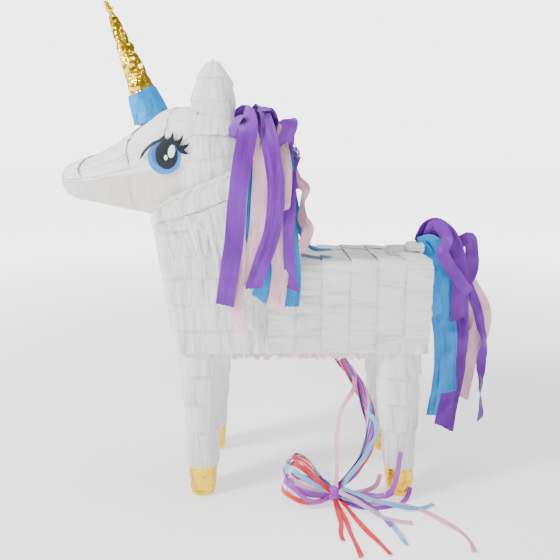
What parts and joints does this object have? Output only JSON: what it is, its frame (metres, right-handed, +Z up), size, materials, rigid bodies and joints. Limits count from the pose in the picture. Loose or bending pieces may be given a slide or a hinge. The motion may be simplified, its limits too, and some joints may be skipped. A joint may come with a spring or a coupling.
{
  "type": "pinata",
  "caption": "Unicorn-shaped pull-string pinata: hollow cardboard body under fringed crepe, with a trap door in the belly, a fill flap in the back and pull ribbons.",
  "frame": {"origin": "on the floor, at the centre of the box round the object without its pull ribbons", "axes": "+Z up, -X towards the snout and +X towards the tail, +Y towards the far side of the object"},
  "size_m": [0.508, 0.2423, 0.5604],
  "materials": {
    "board": "matte corrugated board",
    "crepe_white": "matte crinkled crepe",
    "crepe_blush": "matte crinkled crepe",
    "foil_gold": "metallic gold foil laminated on paper, glossy",
    "tissue_blue": "smooth tissue",
    "tissue_purple": "smooth tissue",
    "tissue_pink": "smooth tissue",
    "sticker_print": "printed sticker, satin",
    "paper_tape": "matte creped tape",
    "ribbon_purple": "satin curling ribbon",
    "ribbon_red": "satin curling ribbon",
    "ribbon_blue": "satin curling ribbon",
    "ribbon_pink": "satin curling ribbon"
  },
  "bodies": {
    "root": {"side_panel_near": "board", "side_panel_far": "board", "chest_panel": "board", "crest_panel": "board", "back_panel": "board", "rump_panel": "board", "belly_panel": "board", "head_shell": "board", "ear_card_near": "board", "ear_card_far": "board", "horn_cone": "board", "leg_tube_front_near": "board", "leg_tube_front_far": "board", "leg_tube_rear_near": "board", "leg_tube_rear_far": "board", "head_cover": "crepe_white", "neck_cover": "crepe_white", "shoulder_cover": "crepe_white", "barrel_cover": "crepe_white", "leg_cover_front_near": "crepe_white", "leg_cover_front_far": "crepe_white", "leg_cover_rear_near": "crepe_white", "leg_cover_rear_far": "crepe_white", "ear_cover_near": "crepe_white", "ear_cover_far": "crepe_white", "tail_wrap": "crepe_white", "belly_fringe": "crepe_blush", "horn_foil": "foil_gold", "hoof_front_near": "foil_gold", "hoof_front_far": "foil_gold", "hoof_rear_near": "foil_gold", "hoof_rear_far": "foil_gold", "horn_collar": "tissue_blue", "mane_blue": "tissue_blue", "tail_blue": "tissue_blue", "mane_bunch": "tissue_purple", "mane_purple": "tissue_purple", "tail_purple": "tissue_purple", "mane_pink": "tissue_pink", "tail_pink": "tissue_pink", "eye_sticker_near": "sticker_print", "eye_sticker_far": "sticker_print", "door_hinge_tape": "paper_tape", "flap_hinge_tape": "paper_tape", "ribbon_anchor": "paper_tape", "ribbon_bundle": "ribbon_purple", "ribbon_knot": "ribbon_purple", "ribbon_bow": "ribbon_purple", "ribbon_tails_purple": "ribbon_purple", "ribbon_tails_red": "ribbon_red", "ribbon_tails_blue": "ribbon_blue", "ribbon_tails_pink": "ribbon_pink"},
    "trap_door": {"trap_door": "board", "trap_door_cover": "crepe_white"},
    "fill_flap": {"fill_flap": "board", "fill_flap_cover": "crepe_white"}
  },
  "joints": [
    {"name": "trap_door_hinge", "type": "hinge", "parent": "root", "child": "trap_door", "pos_m": [-0.008, 0, 0.181], "axis": [0, 1, 0], "range_deg": [0, 80]},
    {"name": "fill_flap_hinge", "type": "hinge", "parent": "root", "child": "fill_flap", "pos_m": [0.122, 0, 0.283], "axis": [0, 1, 0], "range_deg": [0, 100]}
  ]
}
